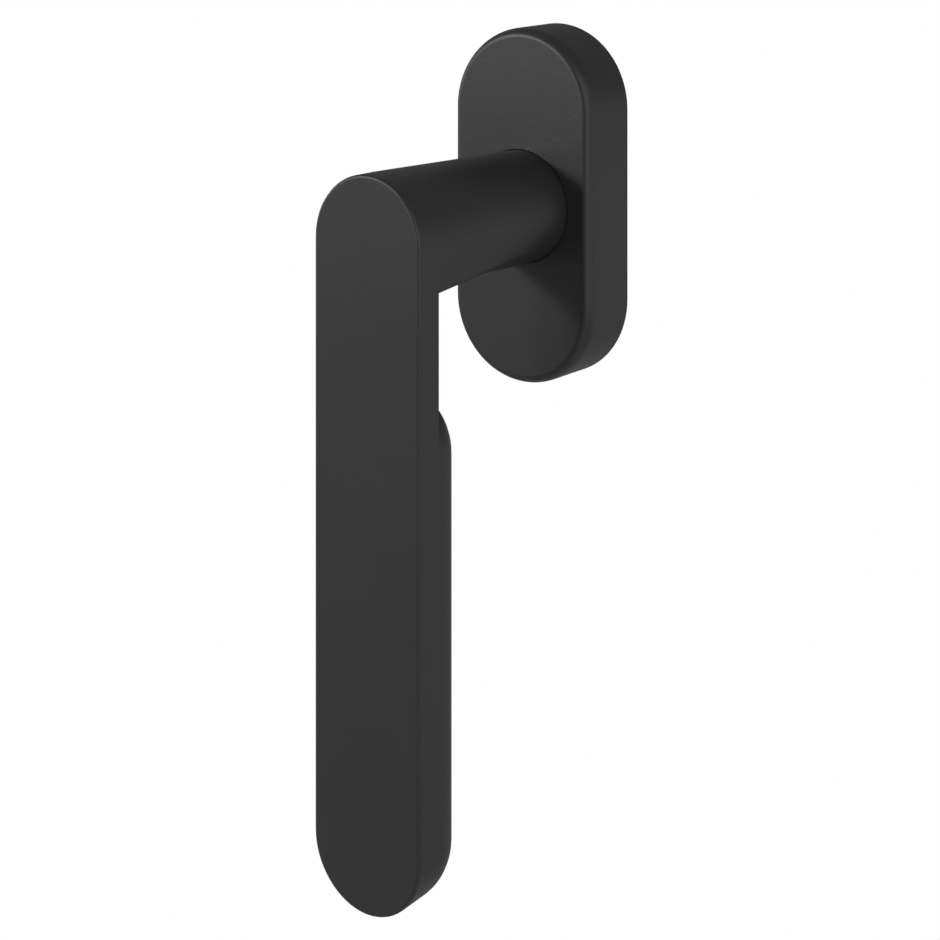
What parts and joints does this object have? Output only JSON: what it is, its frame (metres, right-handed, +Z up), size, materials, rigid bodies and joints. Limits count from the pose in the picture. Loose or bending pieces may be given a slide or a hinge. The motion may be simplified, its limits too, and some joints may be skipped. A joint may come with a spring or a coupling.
{
  "type": "tilt and turn window handle",
  "caption": "Tilt and turn window handle: a flat bar lever with a rounded grip on a round neck, on an oval rose whose cover slides forward to reach the fixing screws.",
  "frame": {"origin": "on the spindle's axis, at the rose's mounting face", "axes": "+Y along the spindle into the sash, -Y towards the user, +X to the user's right, +Z up; at rest the lever points down, along -Z"},
  "size_m": [0.0318, 0.0742, 0.1479],
  "materials": {
    "black_coat": "matte black powder coat",
    "zinc_cast": "tumbled zinc die casting",
    "zinc_plate": "bright zinc plated steel",
    "spring_steel": "oiled spring steel",
    "white_polymer": "natural acetal",
    "black_polymer": "black polyamide",
    "sintered_steel": "sintered steel, lightly oiled"
  },
  "bodies": {
    "rose": {"base_plate": "zinc_cast", "bearing_bush": "white_polymer", "thrust_washer": "white_polymer", "left_detent_spring": "spring_steel", "right_detent_spring": "spring_steel", "rear_plate": "zinc_plate", "upper_rear_plate_screw": "zinc_plate", "lower_rear_plate_screw": "zinc_plate", "upper_fixing_screw": "zinc_plate", "lower_fixing_screw": "zinc_plate", "left_cover_spring": "spring_steel", "right_cover_spring": "spring_steel"},
    "handle": {"lever": "black_coat", "spindle": "zinc_plate", "spindle_pin": "spring_steel", "detent_cam": "sintered_steel", "retaining_ring": "spring_steel", "support_washer": "zinc_plate", "wave_washer": "spring_steel"},
    "cover": {"rose_cover": "black_coat", "cover_guide_ring": "black_polymer"}
  },
  "joints": [
    {"name": "handle_turn", "type": "hinge", "parent": "rose", "child": "handle", "pos_m": [0, 0, 0], "axis": [0, -1, 0], "range_deg": [0, 180], "deforming": ["left_detent_spring", "right_detent_spring"]},
    {"name": "cover_slide", "type": "slide", "parent": "rose", "child": "cover", "axis": [0, -1, 0], "range_m": [0, 0.0045]}
  ]
}
